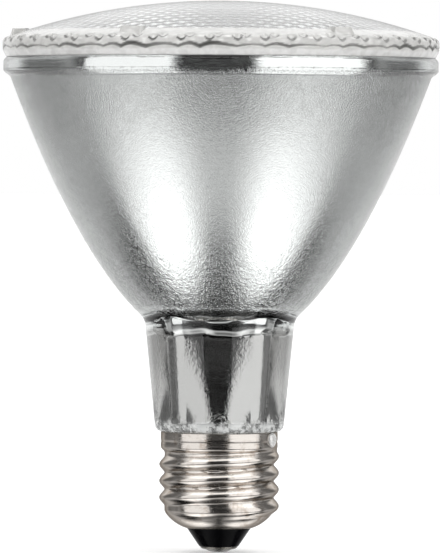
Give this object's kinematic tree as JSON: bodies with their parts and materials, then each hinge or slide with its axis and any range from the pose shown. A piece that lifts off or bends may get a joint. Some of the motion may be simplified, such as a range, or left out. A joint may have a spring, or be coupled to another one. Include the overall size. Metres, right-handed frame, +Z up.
{
  "type": "reflector spotlight bulb",
  "caption": "Long-necked glass reflector spotlight bulb with a stippled clear lens, a silvered parabolic bowl, a sealed ceramic burner and a screw base.",
  "frame": {"origin": "tip of the centre contact, on the lamp axis, where the bulb seats on the socket's spring", "axes": "+Z up the lamp axis towards the lens, -Y the front of the picture, +X to the picture's right; the side contact is at the right, a little to the front"},
  "size_m": [0.0954, 0.0954, 0.1204],
  "materials": {
    "clear_glass": "clear pressed glass, stippled inside",
    "silvered_glass": "pressed glass with a fine orange-peel face, silvered inside",
    "nickel_plate": "bright nickel plate on rolled brass sheet",
    "solder": "smooth tin solder",
    "black_glass": "glossy black poured glass",
    "contact_metal": "plated pressed brass",
    "cement": "matt grainy lamp cement",
    "white_ceramic": "matt white ceramic",
    "quartz": "clear quartz",
    "arc_ceramic": "translucent white sintered ceramic",
    "burner_metal": "dull drawn metal",
    "lead_wire": "drawn nickel wire",
    "sleeve": "braided glass fibre"
  },
  "bodies": {
    "root": {"front_lens": "clear_glass", "reflector": "silvered_glass", "screw_shell": "nickel_plate", "side_solder": "solder", "glass_insulator": "black_glass", "centre_contact": "contact_metal", "centre_solder": "solder", "base_cement": "cement", "capsule_holder": "white_ceramic", "capsule_cement": "cement", "quartz_capsule": "quartz", "arc_tube": "arc_ceramic", "upper_electrode": "burner_metal", "lower_electrode": "burner_metal", "return_wire": "burner_metal", "lower_lead": "burner_metal", "seal_foil_return": "burner_metal", "seal_foil_centre": "burner_metal", "pin_return": "burner_metal", "pin_centre": "burner_metal", "getter": "burner_metal", "centre_lead": "lead_wire", "side_lead": "lead_wire", "lead_sleeve": "sleeve"}
  },
  "joints": []
}
